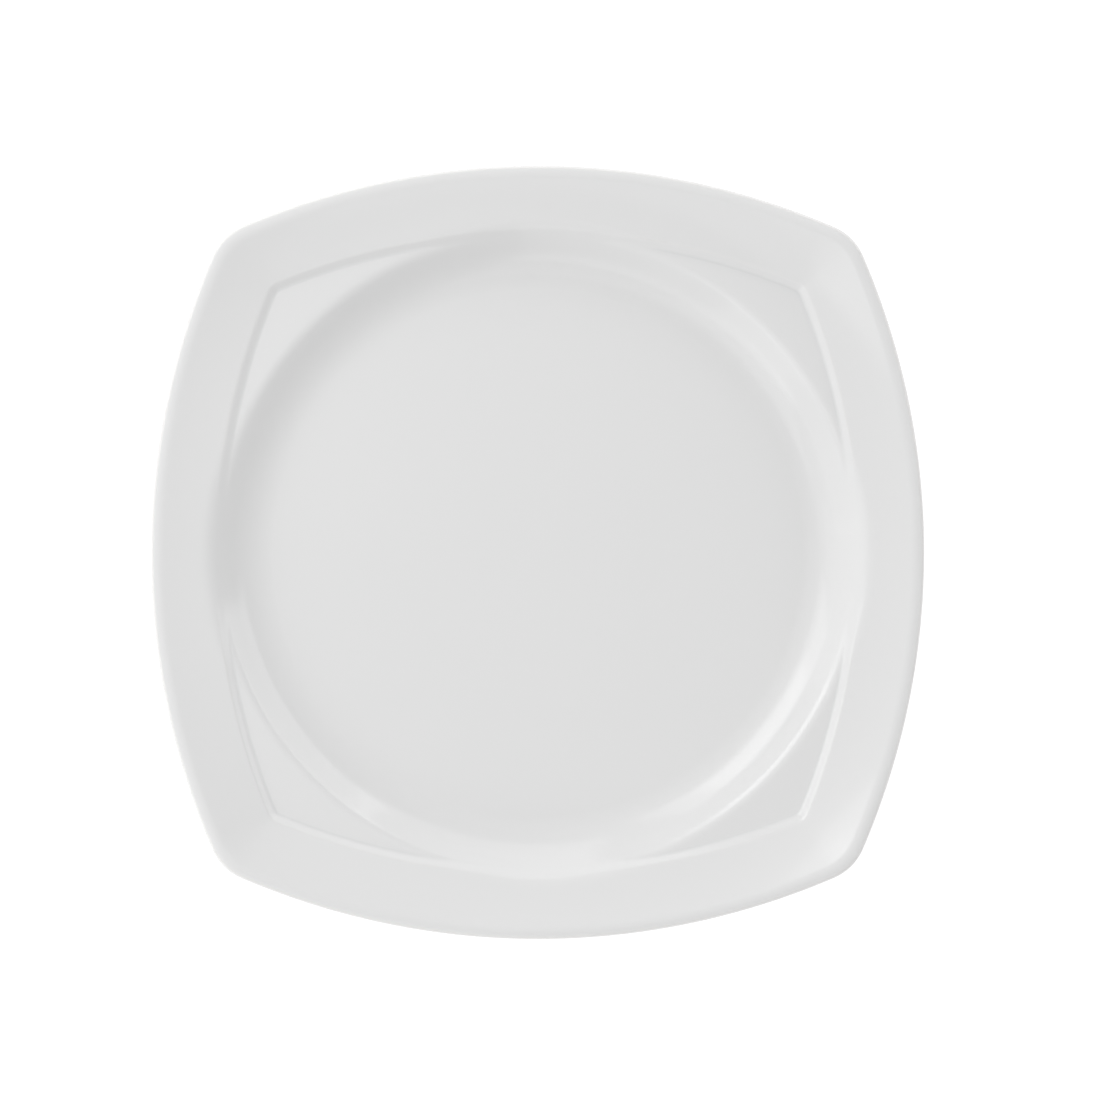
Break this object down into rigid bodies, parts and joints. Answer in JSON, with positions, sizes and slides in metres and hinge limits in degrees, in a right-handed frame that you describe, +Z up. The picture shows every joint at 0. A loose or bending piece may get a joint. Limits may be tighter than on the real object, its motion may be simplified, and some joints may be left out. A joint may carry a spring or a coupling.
{
  "type": "square dinner plate",
  "caption": "Square dinner plate of white glazed china with bowed sides, a round well, a stepped upswept rim and a round foot ring",
  "frame": {"origin": "centre of the foot ring's face, which stands on the table", "axes": "+Z up, out of the well; X and Y run to the middles of the sides"},
  "size_m": [0.27, 0.27, 0.0278],
  "materials": {
    "china": "bare vitrified china, ground smooth on the foot ring",
    "glaze": "clear glaze over white china, smooth and glossy"
  },
  "bodies": {
    "root": {"china_body": "china", "outer_glaze": "glaze", "base_glaze": "glaze"}
  },
  "joints": []
}
